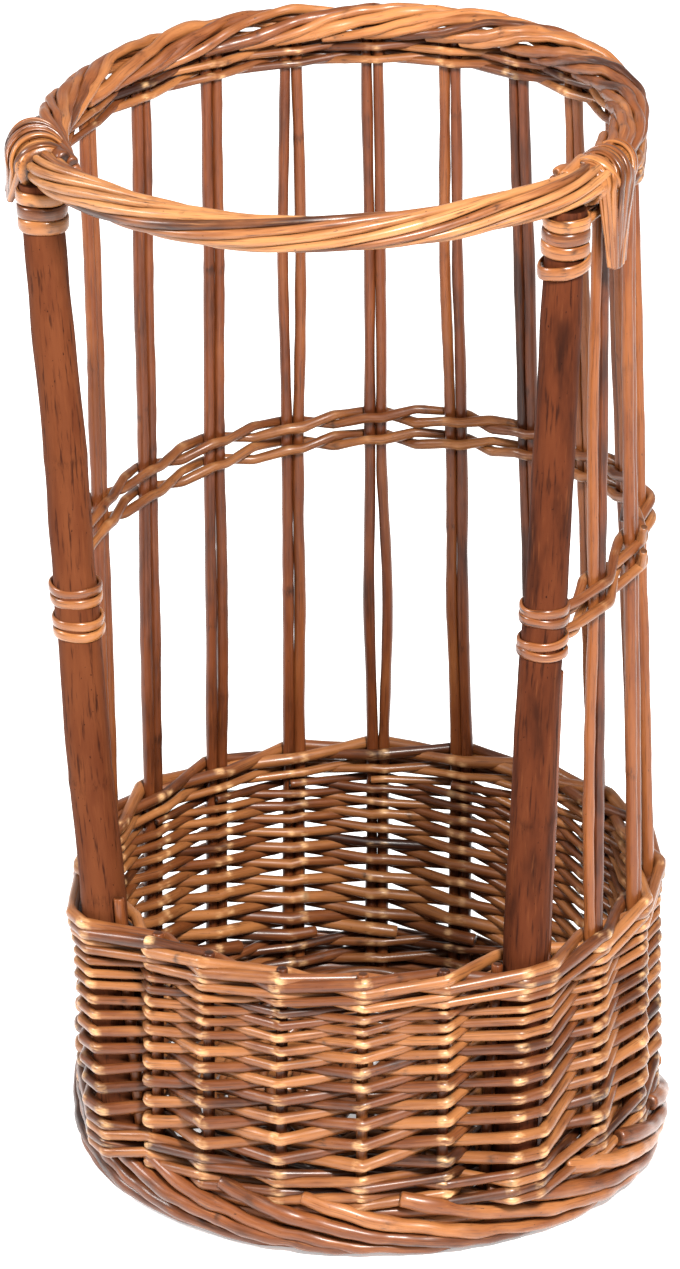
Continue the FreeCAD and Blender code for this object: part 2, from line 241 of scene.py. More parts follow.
# ---------------------------------------------------------------- paths
def rounded(points, bend, step=3.0):
    """Straight runs joined by arcs of the radius bend, smaller where a run is short, as a row of points."""
    row = [points[0]]
    for i in range(1, len(points) - 1):
        here = points[i]
        back = points[i - 1] - here
        ahead = points[i + 1] - here
        room = 0.48 * min(back.length, ahead.length)
        back.normalize()
        ahead.normalize()
        half = (math.pi - back.angle(ahead)) / 2.0
        if half < 0.01:
            row.append(here)
            continue
        cut = min(room, bend * math.tan(half))
        radius = cut / math.tan(half)
        centre = here + (back + ahead).normalized() * (radius / math.cos(half))
        start = here + back * cut - centre
        end = here + ahead * cut - centre
        count = max(2, int(math.degrees(2.0 * half) / 9.0))
        for k in range(count + 1):
            row.append(centre + start.slerp(end, k / count).normalized() * radius)
    row.append(points[-1])
    return spaced(row, step)


def spaced(row, step):
    """Adds points on runs that are longer than the step."""
    out = [row[0]]
    for a, b in zip(row, row[1:]):
        gap = (b - a).length
        if gap < 1e-5:
            continue
        count = max(1, int(math.ceil(gap / step)))
        out.extend(a.lerp(b, k / count) for k in range(1, count + 1))
    return out


def smooth(points, step=3.0):
    """Smooth curve through the points."""
    pts = [points[0] * 2.0 - points[1]] + list(points) + [points[-1] * 2.0 - points[-2]]
    out = [points[0].copy()]
    for i in range(1, len(pts) - 2):
        a, b, c, d = pts[i - 1:i + 3]
        count = max(2, int(math.ceil((c - b).length / step)))
        for k in range(1, count + 1):
            t = k / count
            out.append(0.5 * (2.0 * b + (c - a) * t + (2.0 * a - 5.0 * b + 4.0 * c - d) * t * t
                              + (3.0 * b - a - 3.0 * c + d) * t ** 3))
    return out


def wander(row, size, wave):
    """Bends a row of points gently from side to side; its ends stay."""
    phases = [rng.uniform(0.0, TAU) for _ in range(6)]
    total = sum((b - a).length for a, b in zip(row, row[1:]))
    out = []
    s = 0.0
    for i, p in enumerate(row):
        if i:
            s += (p - row[i - 1]).length
        fade = min(1.0, 4.0 * min(s, total - s) / max(total, 1e-6))
        shift = []
        for k in range(3):
            slow = math.sin(TAU * s / wave + phases[k])
            quick = math.sin(TAU * s / (0.43 * wave) + phases[k + 3])
            shift.append(size * fade * (slow + 0.5 * quick))
        out.append(p + Vector(shift))
    return out


# ---------------------------------------------------------------- meshes
def sideways(tangent, ups):
    """A direction across the rod at each point: along ups, or carried on with the least turning."""
    n = len(tangent)
    if ups is not None:
        u = np.array([tuple(q) for q in ups], float)
        u -= tangent * np.sum(u * tangent, axis=1)[:, None]
        return u / (np.linalg.norm(u, axis=1)[:, None] + 1e-12)
    side = np.zeros((n, 3))
    first = np.cross(tangent[0], (0.0, 0.0, 1.0) if abs(tangent[0][2]) < 0.9 else (1.0, 0.0, 0.0))
    side[0] = first / np.linalg.norm(first)
    for i in range(1, n):
        v = side[i - 1] - tangent[i] * np.dot(side[i - 1], tangent[i])
        side[i] = v / (np.linalg.norm(v) + 1e-12)
    return side


def sharp_bends(tangent, s):
    """How close each point is to a sharp bend, from 0 to 1, and which way the rod bends there."""
    n = len(s)
    turn = np.zeros((n, 3))
    turn[1:-1] = (tangent[2:] - tangent[:-2]) / (s[2:] - s[:-2])[:, None]
    bent = np.linalg.norm(turn, axis=1)
    spread = np.zeros(n)
    bend_way = np.zeros((n, 3))
    for i in np.nonzero(bent > 0.05)[0]:
        near = np.exp(-((s - s[i]) / 1.7) ** 2) * min(1.0, bent[i] / 0.25)
        take = near > spread
        spread[take] = near[take]
        bend_way[take] = turn[i] / bent[i]
    return spread, bend_way


class Bundle:
    """Rods gathered into one mesh, with what their material needs to know."""

    def __init__(self):
        self.points = []
        self.faces = []
        self.inside = []
        self.seed = []
        self.rubbed_and_lit = []
        self.mark = []
        self.cut = []
        self.count = 0

    def rod(self, row, radius, sides=10, ups=None, flat=None, rub_and_highlight=1.0, rough=0.035, blunt=0.6, marks=75.0):
        """Adds a rod along the row. radius is one number or (start, end).

        With ups it is a strip: flat is its half thickness over its half width, and its thin side points
        along ups. blunt is how far its ends are rounded off, and marks the usual way between its knots.
        """
        p = np.array([tuple(q) for q in row], float)
        n = len(p)
        s = np.concatenate([[0.0], np.cumsum(np.linalg.norm(np.diff(p, axis=0), axis=1))])
        tangent = np.gradient(p, axis=0)
        tangent /= np.linalg.norm(tangent, axis=1)[:, None] + 1e-12
        side = sideways(tangent, ups)
        other = np.cross(tangent, side)
        seed = rng.random()
        local = np.random.default_rng(int(seed * 1e9))
        waves = local.uniform(14.0, 90.0, 4)
        phases = local.uniform(0.0, TAU, 4)
        uneven = 1.0 + rough * sum(np.sin(TAU * s / w + f) for w, f in zip(waves, phases)) / 2.0
        start_end = radius if isinstance(radius, tuple) else (radius, radius)
        thick = np.interp(s, [0.0, s[-1]], start_end) * uneven
        mark = np.zeros(n)
        at = local.uniform(0.0, marks)
        while at < s[-1]:
            mark = np.maximum(mark, np.exp(-((s - at) / 1.6) ** 2))
            at += local.uniform(0.45, 1.7) * marks
        thick = thick * (1.0 + 0.05 * mark)
        spread, bend_way = sharp_bends(tangent, s)
        angles = np.arange(sides) * TAU / sides
        if flat is None:
            oval = local.uniform(0.0, 0.05)
            lean = local.uniform(0.0, math.pi)
            shape = 1.0 + oval * np.cos(2.0 * (angles - lean))
            cx = np.cos(angles) * shape
            cy = np.sin(angles) * shape
        else:
            cx = np.sign(np.cos(angles)) * np.abs(np.cos(angles)) ** 0.75 * flat
            cy = np.sign(np.sin(angles)) * np.abs(np.sin(angles)) ** 0.75
        edge = 1.0 - 0.16 * min(1.0, blunt)
        tip = 1.0 - 0.55 * min(1.0, blunt)
        order = np.array([0, 0, *range(n), n - 1, n - 1])
        scale = np.array([tip, edge, *[1.0] * n, edge, tip])
        push = np.array([-0.35 * blunt, -0.22 * blunt, *[0.0] * n, 0.22 * blunt, 0.35 * blunt])
        m = len(order)
        radii = thick[order] * scale
        centre = p[order] + tangent[order] * (push * thick[order])[:, None]
        ring = side[order][:, None, :] * cx[None, :, None] + other[order][:, None, :] * cy[None, :, None]
        verts = centre[:, None, :] + ring * radii[:, None, None]
        away = ring / (np.linalg.norm(ring, axis=2)[:, :, None] + 1e-12)
        # Pale colour on the outside of sharp bends: rubbed wood, and also a painted highlight on the bulges
        # of the weave.
        outer = np.clip(-np.einsum("ijk,ik->ij", away, bend_way[order]), 0.0, 1.0)
        rubbed_and_lit = rub_and_highlight * spread[order][:, None] * outer ** 0.7
        inside = np.stack([
            np.broadcast_to(cx[None, :] * radii[:, None], (m, sides)),
            np.broadcast_to(cy[None, :] * radii[:, None], (m, sides)),
            np.broadcast_to(s[order][:, None], (m, sides)),
        ], axis=2)
        ends = np.zeros((m, sides))
        ends[0] = 1.0
        ends[-1] = 1.0
        base = self.count
        self.points.append(verts.reshape(-1, 3))
        self.inside.append(inside.reshape(-1, 3))
        self.seed.append(np.full(m * sides, seed))
        self.rubbed_and_lit.append(rubbed_and_lit.reshape(-1))
        self.mark.append(np.repeat(mark[order], sides))
        self.cut.append(ends.reshape(-1))
        self.count += m * sides
        idx = base + np.arange(m * sides).reshape(m, sides)
        nxt = np.roll(idx, -1, axis=1)
        quads = np.stack([idx[:-1], nxt[:-1], nxt[1:], idx[1:]], axis=2).reshape(-1, 4)
        self.faces.extend(quads.tolist())
        self.faces.append(idx[0][::-1].tolist())
        self.faces.append(idx[-1].tolist())

    def build(self, name, material, node):
        """Makes the mesh, in metres in the part's own frame, in place of the node."""
        points = (np.concatenate(self.points) + np.array(tuple(FOOT_MIDDLE))) * 0.001
        mesh = bpy.data.meshes.new(name)
        mesh.from_pydata(points.tolist(), [], self.faces)
        mesh.polygons.foreach_set("use_smooth", [True] * len(mesh.polygons))
        fields = {"rod_seed": self.seed, "rod_rubbed_and_lit": self.rubbed_and_lit, "rod_mark": self.mark, "rod_cut": self.cut}
        for label, values in fields.items():
            layer = mesh.attributes.new(label, "FLOAT", "POINT")
            layer.data.foreach_set("value", np.concatenate(values).astype(np.float32))
        layer = mesh.attributes.new("rod_inside", "FLOAT_VECTOR", "POINT")
        inside = (np.concatenate(self.inside) * 0.001).astype(np.float32)
        layer.data.foreach_set("vector", inside.reshape(-1))
        mesh.materials.append(material)
        mesh.update()
        piece = bpy.data.objects.new(name, mesh)
        bpy.context.scene.collection.objects.link(piece)
        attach(piece, "root")
        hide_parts(node)


# ---------------------------------------------------------------- materials
def willow(name, dark, mid, light, grain=1.0, rough=0.42, varnish=0.35, streak=0.5, specks=0.5, rubbed_and_lit=None,
           gloss=0.28):
    """Stained and varnished willow. It varies from rod to rod, along each rod and in fine lengthwise grain.

    dark, mid and light are its tones, worn the pale colour on the outside of sharp bends, rubbed wood that
    is also a painted highlight, grain how fine the fibres are, streak and specks how strong they show,
    varnish the weight of the coat and gloss the sheen under it.
    """
    material = bpy.data.materials.new(name)
    material.use_nodes = True
    tree = material.node_tree
    nodes, links = tree.nodes, tree.links
    nodes.clear()

    def field(label):
        node = nodes.new("ShaderNodeAttribute")
        node.attribute_name = label
        return node

    def mathop(operation, a, b=0.0, clamp=False):
        node = nodes.new("ShaderNodeMath")
        node.operation = operation
        node.use_clamp = clamp
        for socket, value in ((node.inputs[0], a), (node.inputs[1], b)):
            if isinstance(value, (int, float)):
                socket.default_value = value
            else:
                links.new(value, socket)
        return node.outputs[0]

    def blend(factor, a, b):
        node = nodes.new("ShaderNodeMix")
        node.data_type = "RGBA"
        for socket, value in ((node.inputs[0], factor), (node.inputs[6], a), (node.inputs[7], b)):
            if isinstance(value, (int, float)):
                socket.default_value = value
            elif isinstance(value, (tuple, list)):
                socket.default_value = (*value, 1.0)
            else:
                links.new(value, socket)
        return node.outputs[2]

    def ramp(value, low, high):
        node = nodes.new("ShaderNodeMapRange")
        node.interpolation_type = "SMOOTHSTEP"
        node.inputs["From Min"].default_value = low
        node.inputs["From Max"].default_value = high
        links.new(value, node.inputs["Value"])
        return node.outputs["Result"]

    seed = field("rod_seed").outputs["Fac"]
    shift = nodes.new("ShaderNodeCombineXYZ")
    links.new(mathop("MULTIPLY", seed, 37.0), shift.inputs[0])
    links.new(mathop("MULTIPLY", seed, 91.0), shift.inputs[1])
    links.new(mathop("MULTIPLY", seed, 53.0), shift.inputs[2])

    def noise(scale, detail, roughness):
        """Noise in the rod's own space: across, across, along."""
        stretch = nodes.new("ShaderNodeVectorMath")
        stretch.operation = "MULTIPLY_ADD"
        links.new(field("rod_inside").outputs["Vector"], stretch.inputs[0])
        stretch.inputs[1].default_value = scale
        links.new(shift.outputs[0], stretch.inputs[2])
        node = nodes.new("ShaderNodeTexNoise")
        node.inputs["Scale"].default_value = 1.0
        node.inputs["Detail"].default_value = detail
        node.inputs["Roughness"].default_value = roughness
        links.new(stretch.outputs[0], node.inputs["Vector"])
        return node.outputs["Fac"]

    whole = mathop("FRACT", mathop("MULTIPLY", seed, 57.31))
    patches = noise((90.0, 90.0, 22.0), 3.0, 0.6)
    fibres = noise((1500.0 * grain, 1500.0 * grain, 45.0), 3.0, 0.6)
    fine = noise((3600.0, 3600.0, 260.0), 2.0, 0.6)
    dots = noise((900.0, 900.0, 520.0), 1.0, 0.4)
    scuffs = noise((260.0, 260.0, 90.0), 4.0, 0.7)

    tone = mathop("ADD", mathop("MULTIPLY", whole, 0.45), mathop("MULTIPLY", patches, 0.85))
    colour = blend(ramp(tone, 0.30, 0.62), dark, mid)
    colour = blend(mathop("MULTIPLY", ramp(tone, 0.55, 1.0), 0.75), colour, light)
    colour = blend(mathop("MULTIPLY", ramp(fibres, 0.46, 0.30), streak), colour, dark)
    colour = blend(mathop("MULTIPLY", ramp(fibres, 0.56, 0.74), streak * 0.6), colour, light)
    # At sharp bends the pale colour is laid on: partly real rubbed wood, partly a painted highlight.
    rubbed_lit_colour = rubbed_and_lit or light
    rub_and_highlight = mathop("MULTIPLY", field("rod_rubbed_and_lit").outputs["Fac"], ramp(scuffs, 0.38, 0.72), clamp=True)
    colour = blend(rub_and_highlight, colour, rubbed_lit_colour)
    speck = mathop("MULTIPLY", ramp(dots, 0.73, 0.80), specks)
    patchy = mathop("MULTIPLY", ramp(scuffs, 0.47, 0.62), 0.75)
    knot = mathop("MULTIPLY", field("rod_mark").outputs["Fac"], patchy)
    speck = mathop("MAXIMUM", speck, knot)
    deep = tuple(c * 0.22 for c in dark)
    colour = blend(speck, colour, deep)
    colour = blend(mathop("MULTIPLY", field("rod_cut").outputs["Fac"], 0.7), colour, deep)

    height = mathop("ADD", mathop("MULTIPLY", fibres, 0.7), mathop("MULTIPLY", fine, 0.4))
    bump = nodes.new("ShaderNodeBump")
    bump.inputs["Strength"].default_value = 0.35
    bump.inputs["Distance"].default_value = 0.00035
    links.new(height, bump.inputs["Height"])
    shader = nodes.new("ShaderNodeBsdfPrincipled")
    links.new(colour, shader.inputs["Base Color"])
    spread = mathop("ADD", mathop("MULTIPLY", scuffs, 0.22), rough - 0.10)
    links.new(mathop("ADD", spread, mathop("MULTIPLY", rub_and_highlight, 0.08)), shader.inputs["Roughness"])
    links.new(bump.outputs["Normal"], shader.inputs["Normal"])
    shader.inputs["Coat Weight"].default_value = varnish
    shader.inputs["Coat Roughness"].default_value = 0.20
    shader.inputs["Coat IOR"].default_value = 1.35
    shader.inputs["IOR"].default_value = 1.4
    shader.inputs["Specular IOR Level"].default_value = gloss
    output = nodes.new("ShaderNodeOutputMaterial")
    links.new(shader.outputs[0], output.inputs[0])
    return material


# The pale colours given for the bends are rubbed wood and also a painted highlight.
WEAVER = willow("weaver_willow", (0.014, 0.0033, 0.0012), (0.086, 0.0235, 0.0058), (0.250, 0.098, 0.030),
                rubbed_and_lit=(0.60, 0.36, 0.17))
BORDER = willow("border_willow", (0.018, 0.0044, 0.0015), (0.112, 0.0315, 0.0082), (0.315, 0.126, 0.040),
                rubbed_and_lit=(0.52, 0.31, 0.15), specks=0.8)
BAR = willow("bar_willow", (0.024, 0.0064, 0.0022), (0.132, 0.043, 0.0125), (0.340, 0.155, 0.055),
             rubbed_and_lit=(0.52, 0.31, 0.15), specks=0.8, streak=0.8)
STAKE = willow("stake_willow", (0.022, 0.0052, 0.0016), (0.084, 0.0205, 0.0052), (0.170, 0.054, 0.0135),
               rubbed_and_lit=(0.4, 0.2, 0.07), streak=0.6, gloss=0.2)
POST = willow("post_willow", (0.012, 0.0028, 0.0011), (0.050, 0.0118, 0.0038), (0.088, 0.0255, 0.0085),
              grain=0.35, rough=0.65, varnish=0.0, streak=0.85, specks=0.9, gloss=0.06)
BASE = willow("base_willow", (0.018, 0.005, 0.0015), (0.080, 0.024, 0.007), (0.180, 0.068, 0.020))
SKEIN = willow("skein_binding", (0.022, 0.0056, 0.0018), (0.120, 0.036, 0.0092), (0.300, 0.124, 0.038),
               grain=0.7, rough=0.28, varnish=0.5, streak=0.9, specks=0.4)


# ---------------------------------------------------------------- uprights
def build_posts():
    """Two stout sticks, with the bar and the border lying on their heads."""
    for side, name in ((-1, "post_left"), (1, "post_right")):
        bundle = Bundle()
        top = post_top(side) + 2.0
        row = [post_point(side, POST_FOOT_Z + (top - POST_FOOT_Z) * k / 90.0) for k in range(91)]
        row = wander(row, 0.55, 260.0)
        radius = (post_radius(side, 30.0), post_radius(side, 510.0))
        bundle.rod(row, radius, sides=40, rough=0.018, blunt=0.15, rub_and_highlight=0.0, marks=130.0)
        bundle.build(name + "_stick", POST, name)


def bulge(z, low, high):
    """Nothing at the two heights and below or above them, and 1 half way between them."""
    return math.sin(math.pi * (z - low) / (high - low)) if low < z < high else 0.0


def build_stakes():
    """Pairs of rods that bow apart a little between tub, band and rim, and short rods in the front wall."""
    for index in range(1, LEFT_POST):
        phi = pair_phi(index)
        top = rim_height(stake_point(phi, RIM_Z)) - 5.0
        bundle = Bundle()
        gaps = [rng.choice((0.0, 0.0, 0.5, 1.5)) for _ in range(2)]
        sway = rng.uniform(-0.9, 0.9)
        for half in (-1, 1):
            row = []
            own = [rng.uniform(-0.5, 0.5) for _ in range(4)]
            for k in range(105):
                z = STAKE_BOTTOM_Z + (top - STAKE_BOTTOM_Z) * k / 104.0
                middle = stake_point(phi, z)
                out, along = directions(middle)
                lower = bulge(z, 152.0, 300.0)
                upper = bulge(z, 322.0, 510.0)
                spread = PAIR_HALF_GAP - 0.2 + gaps[0] * lower + gaps[1] * upper
                wave = own[0] * lower * math.sin(z / 21.0) + own[1] * upper * math.sin(z / 24.0)
                depth = own[2] * lower + own[3] * upper
                row.append(middle + along * (half * spread + wave + sway * (lower + upper)) + out * depth)
            bundle.rod(row, (3.05, 2.75), sides=14, rough=0.05, rub_and_highlight=0.0, marks=95.0)
        bundle.build("stakes_%02d" % index, STAKE, "stake_pair_%02d" % index)
    for number, phi in enumerate(SHORT_STAKE_PHI, 1):
        bundle = Bundle()
        row = [polar(STAKE_FOOT_R, phi, z) for z in range(10, 152, 4)]
        bundle.rod(row, (3.0, 2.9), sides=12, rub_and_highlight=0.0)
        bundle.build("short_stake_%d" % number, STAKE, "front_stake_%d" % number)


def build_liners():
    """Thin rods close beside the posts."""
    bundle = Bundle()
    for side, turn, top in LINERS:
        row = []
        for k in range(40):
            z = 26.0 + (top - 26.0) * k / 39.0
            middle = post_point(side, z)
            out, along = directions(middle)
            row.append(middle + along * (turn * (post_radius(side, z) + 2.7)) - out * 2.8)
        bundle.rod(row, (3.0, 2.8), sides=12, rub_and_highlight=0.0)
    bundle.build("liner_rods", STAKE, "post_liners")


# ---------------------------------------------------------------- foot and floor
def build_foot():
    """Stout rods that sweep down and along under the next ones, over rods that run round inside them."""
    bundle = Bundle()
    for index in range(STAKES):
        nudge = rng.uniform(-0.9, 0.9)
        swell = rng.uniform(-0.7, 0.7)
        thick = rng.uniform(0.9, 1.06)
        row = []
        for step, distance, z in FOOT_SWEEP:
            a = math.radians(FIRST_PHI + STAKE_STEP * (index - 0.25 + step) + nudge)
            reach = distance + swell
            x = FOOT_SHIFT + reach * math.sin(a)
            row.append(Vector((x, -reach * math.cos(a), max(3.4, z + nudge))))
        bundle.rod(wander(smooth(row), 0.35, 46.0), (4.4 * thick, 2.8 * thick), sides=14, rough=0.09,
                   rub_and_highlight=0.5, blunt=0.9)
    for reach, level, radius in FOOT_RINGS:
        row = [Vector((1.2 + reach * math.sin(TAU * k / 240.0), -reach * math.cos(TAU * k / 240.0), level))
               for k in range(244)]
        bundle.rod(wander(row, 0.5, 70.0), radius, sides=10, rough=0.05, rub_and_highlight=0.2)
    bundle.build("foot_rods", BORDER, "foot_border")


def build_base():
    """Four sticks laid across four others, and the rods woven round them to the wall."""
    sticks = Bundle()
    for layer, turn in ((-1, 0.0), (1, 90.0)):
        for line in range(4):
            offset = (line - 1.5) * SLATH_PITCH
            fan = math.radians((line - 1.5) * 22.5)
            ray = Vector((math.cos(fan), math.sin(fan), 0.0))
            level = Vector((0.0, 0.0, BASE_Z))
            crossing = Vector((SLATH_HALF, offset, BASE_Z + layer * 3.3))
            half = [crossing, ray * FLOOR_FAN_R + level, ray * FLOOR_STICK_R + level]
            points = [Vector((-p.x, p.y, p.z)) for p in reversed(half)] + half
            c = math.cos(math.radians(turn))
            d = math.sin(math.radians(turn))
            spin = [Vector((p.x * c - p.y * d, p.x * d + p.y * c, p.z)) for p in points]
            sticks.rod(rounded(spin, 20.0, 5.0), FLOOR_STICK_RADIUS, sides=12, rub_and_highlight=0.0)
    sticks.build("crossed_sticks", BASE, "base_sticks")
    rings = Bundle()
    for number in range(FLOOR_RINGS):
        radius = FLOOR_RING_R + FLOOR_RING_PITCH * number
        flip = 1 if number % 2 else -1
        row = []
        for k in range(195):
            a = TAU * k / 192.0
            lift = math.cos(8.0 * (a - math.radians(11.25)))
            z = BASE_Z + flip * FLOOR_RING_LIFT * lift
            row.append(Vector((radius * math.cos(a), radius * math.sin(a), z)))
        rings.rod(row, (2.5, 2.2), sides=9, rub_and_highlight=0.3)
    for number in range(SLATH_RINGS):
        radius = SLATH_RING_R + SLATH_RING_PITCH * number
        flip = 1 if number % 2 else -1
        row = []
        for k in range(147):
            a = TAU * k / 144.0
            lift = max(-1.0, min(1.0, 1.8 * math.cos(2.0 * a)))
            z = BASE_Z + flip * SLATH_RING_LIFT * lift
            row.append(Vector((radius * math.cos(a), radius * math.sin(a), z)))
        rings.rod(row, (2.2, 2.0), sides=9, rub_and_highlight=0.3)
    rings.build("floor_rods", BASE, "base_weave")


# ---------------------------------------------------------------- wall
def weave_corners(strokes):
    """Corners of a rod at the given places: (place, z, side, rod radius there)."""
    points = []
    for index, z, side, radius in strokes:
        at, half_width, reach = place(index)
        middle = at(z)
        out, along = directions(middle)
        off = out * (side * (reach + radius - 0.15))
        tilt = Vector((0.0, 0.0, rng.uniform(-0.35, 0.35)))
        points.append(middle + off - along * half_width - tilt)
        points.append(middle + off + along * half_width + tilt)
    return points


def weave_z(step):
    """Height of a weaver where it passes the given number of stakes after its start."""
    return WEAVE_FIRST_Z + WEAVE_RISE * (step - 1) - WEAVE_RISE_LOSS * (step - 1) ** 2


def build_randing():
    """The wall: at every place a weaver starts, and goes once round, rising in front and behind by turns."""
    for start in range(STAKES):
        thick = rng.uniform(0.95, 1.06)
        strokes = []
        for step in range(0, STAKES + 1):
            t = step / STAKES
            radius = thick * (WEAVER_BUTT + (WEAVER_TIP - WEAVER_BUTT) * t ** 0.8)
            z = weave_z(step) if step else WEAVE_FIRST_Z - 3.0
            strokes.append((start + step, z + rng.uniform(-0.45, 0.45), 1 if step % 2 else -1, radius))
        points = weave_corners(strokes)
        butt = points[0] + (points[0] - points[1]).normalized() * 7.0 - Vector((0.0, 0.0, 0.6))
        row = rounded([butt] + points[1:], KINK, 2.6)
        bundle = Bundle()
        radius = (WEAVER_BUTT * thick, WEAVER_TIP * thick)
        bundle.rod(row, radius, sides=10, rough=0.05, marks=110.0, rub_and_highlight=0.75)
        number = start + 1
        bundle.build("weaver_%02d" % number, WEAVER, "randing_rod_%02d" % number)


def wale_strokes(bundle, level, lift, radius, first):
    """One round of a wale: three rods, each in front of two places and behind the third."""
    for rod in range(3):
        strokes = []
        for k in range(0, STAKES + 2):
            index = first + rod + k
            phase = k % 3
            side = -1 if phase == 2 else 1
            z = level + (0.0, lift, lift * 0.55)[phase] + rng.uniform(-0.25, 0.25)
            strokes.append((index, z, side, radius))
        points = weave_corners(strokes)
        row = rounded(points, KINK * 1.5, 2.8)
        bundle.rod(row, (radius * 1.04, radius * 0.9), sides=10, rough=0.06, marks=100.0)


def build_wales():
    lower = Bundle()
    for turn, (level, lift, radius) in enumerate(LOWER_WALE):
        wale_strokes(lower, level, lift, radius, 7 + 2 * turn)
    lower.build("lower_wale_rods", WEAVER, "lower_wale")
    top = Bundle()
    for turn, (level, lift, radius) in enumerate(TOP_WALE):
        wale_strokes(top, level, lift, radius, 9 + turn)
    top.build("top_wale_rods", WEAVER, "top_wale")


# ---------------------------------------------------------------- middle band
def build_band():
    """Two rows of pairing: in each, two rods change sides at every pair and twist past each other."""
    for name, (level, odd) in BAND_ROWS.items():
        radius = rng.uniform(2.5, 2.8)
        strokes = []
        for index in range(1, LEFT_POST):
            z = band_height(pair_phi(index)) + level + rng.uniform(-1.2, 1.2)
            middle = stake_point(pair_phi(index), z)
            out, along = directions(middle)
            side = 1 if (index + odd) % 2 else -1
            strokes.append((middle, out * (side * (STAKE_RADIUS + radius - 0.1)), along, side))
        points = []
        for (middle, off, along, side), ahead in zip(strokes, strokes[1:] + [None]):
            points.extend([middle + off - along * 3.4, middle + off + along * 3.4])
            if ahead:
                twist = (2.7 + 0.8 * rng.random()) * side
                points.append((middle + ahead[0]) / 2.0 + Vector((0.0, 0.0, twist)))
        ends = []
        for side in (1, -1):
            raised = 1 if (side > 0) == (not odd) else -1
            middle = post_point(side, band_wrap_height(side) + level + 2.3 * raised)
            out, along = directions(middle)
            reach = post_radius(side, BAND_Z) + 1.0
            ends.append([middle + along * (side * reach) + out * (raised * 2.0),
                         middle + along * (side * (reach + 9.0)) + out * (raised * 1.0)])
        points = ends[0] + points + ends[1][::-1]
        bundle = Bundle()
        bundle.rod(rounded(points, 11.0, 2.6), (radius, radius * 0.95), sides=10, rough=0.08, rub_and_highlight=0.8)
        for index, up in LOOSE_ENDS if odd else []:
            middle, off, along, _ = strokes[index - 1]
            start = middle + off - along * 3.0
            tip = start + off * 0.5 - along * 5.0 + Vector((0.0, 0.0, up * 10.0))
            bundle.rod(spaced([start, start.lerp(tip, 0.5), tip], 2.6), (radius, radius * 0.8), sides=10)
        bundle.build(name + "_willow", WEAVER, name)


# ---------------------------------------------------------------- rim
def border_rod(bundle, phi, radius, lag, rho):
    """A stake's end folded down: up from its stake, over the top and down the outside of the rim."""
    reach = rng.uniform(3.3, 3.9)
    sharp = rng.uniform(0.75, 1.05)
    drift = rng.uniform(-0.5, 1.0)
    row = []
    for k in range(70):
        t = k / 69.0 * (reach + 0.15) - 0.15
        at = phi - BORDER_PITCH * (t + lag)
        if at > 300.0 or at < 60.0:
            continue
        ease = min(1.0, max(0.0, t / (reach - 0.3)))
        row.append(rim_point(at, 240.0 - 285.0 * ease ** sharp, rho + drift * math.sin(2.6 * ease + lag)))
    if len(row) > 6:
        bundle.rod(wander(row, 0.45, 42.0), (radius, radius * 0.84), sides=12, rough=0.09, rub_and_highlight=0.9,
                   blunt=0.9, marks=60.0)


def bar_shift(phi):
    """Near the posts the bar swings outwards, so that it lies on their heads."""
    share = min(1.0, max(0.0, (abs(phi) - 40.0) / 20.0))
    a = math.radians(phi)
    return Vector((math.sin(a), -math.cos(a), 0.0)) * (BAR_SWING * share * share * (3.0 - 2.0 * share))


def build_rim():
    """The plaited border, the wale under it and the twisted bar across the front."""
    border = Bundle()
    heads = [head_phi(pair_phi(index)) for index in range(1, LEFT_POST)]
    starts = heads + [heads[-1] + BORDER_PITCH * k for k in range(1, 4)]
    for phi in starts:
        border_rod(border, phi + rng.uniform(-1.5, 1.5), rng.uniform(3.0, 3.7), 0.0, rng.uniform(5.7, 6.6))
        border_rod(border, phi + rng.uniform(-1.5, 1.5), rng.uniform(2.3, 3.1), 0.45, rng.uniform(6.3, 7.6))
    border.build("border_rods", BORDER, "rim_border")

    wale = Bundle()
    for level, lift, radius in UPPER_WALE:
        for rod in range(3):
            points = []
            for index in range(0, LEFT_POST + 1):
                phase = (index + rod) % 3
                side = 1 if phase else -1
                if index in (0, LEFT_POST):
                    at = rim_point(64.0 if index == 0 else 296.0)
                else:
                    at = stake_point(pair_phi(index), RIM_Z - 14.0)
                out, along = directions(at)
                drop = level + (lift * 0.5, 0.0, lift)[phase] + rng.uniform(-0.4, 0.4)
                middle = Vector((at.x, at.y, rim_height(at) + drop))
                off = out * (side * (STAKE_RADIUS + radius))
                points.extend([middle + off - along * 2.6, middle + off + along * 2.6])
            wale.rod(rounded(points, 6.0, 2.6), (radius * 1.05, radius * 0.9), sides=9, rough=0.07)
    wale.build("upper_wale_rods", WEAVER, "upper_wale")

    bar = Bundle()
    for k in range(BAR_STRANDS):
        first = 360.0 * k / BAR_STRANDS
        rho = rng.uniform(6.3, 7.0)
        radius = rng.uniform(2.15, 2.75)
        row = []
        begin = BAR_ENDS[0] - rng.uniform(0.0, 3.0)
        end = BAR_ENDS[1] + rng.uniform(0.0, 3.0)
        for j in range(120):
            phi = begin + (end - begin) * j / 119.0
            row.append(rim_point(phi, first + BAR_TWIST * (phi + 67.0), rho) + bar_shift(phi))
        bar.rod(row, (radius, radius * 0.9), sides=12, rough=0.07, rub_and_highlight=0.0, marks=60.0, blunt=0.9)
    core = []
    for j in range(71):
        phi = -70.0 + 139.0 * j / 70.0
        core.append(rim_point(phi) + bar_shift(phi))
    bar.rod(core, 4.6, sides=10, rub_and_highlight=0.0)
    bar.build("front_bar_rods", BAR, "front_bar")


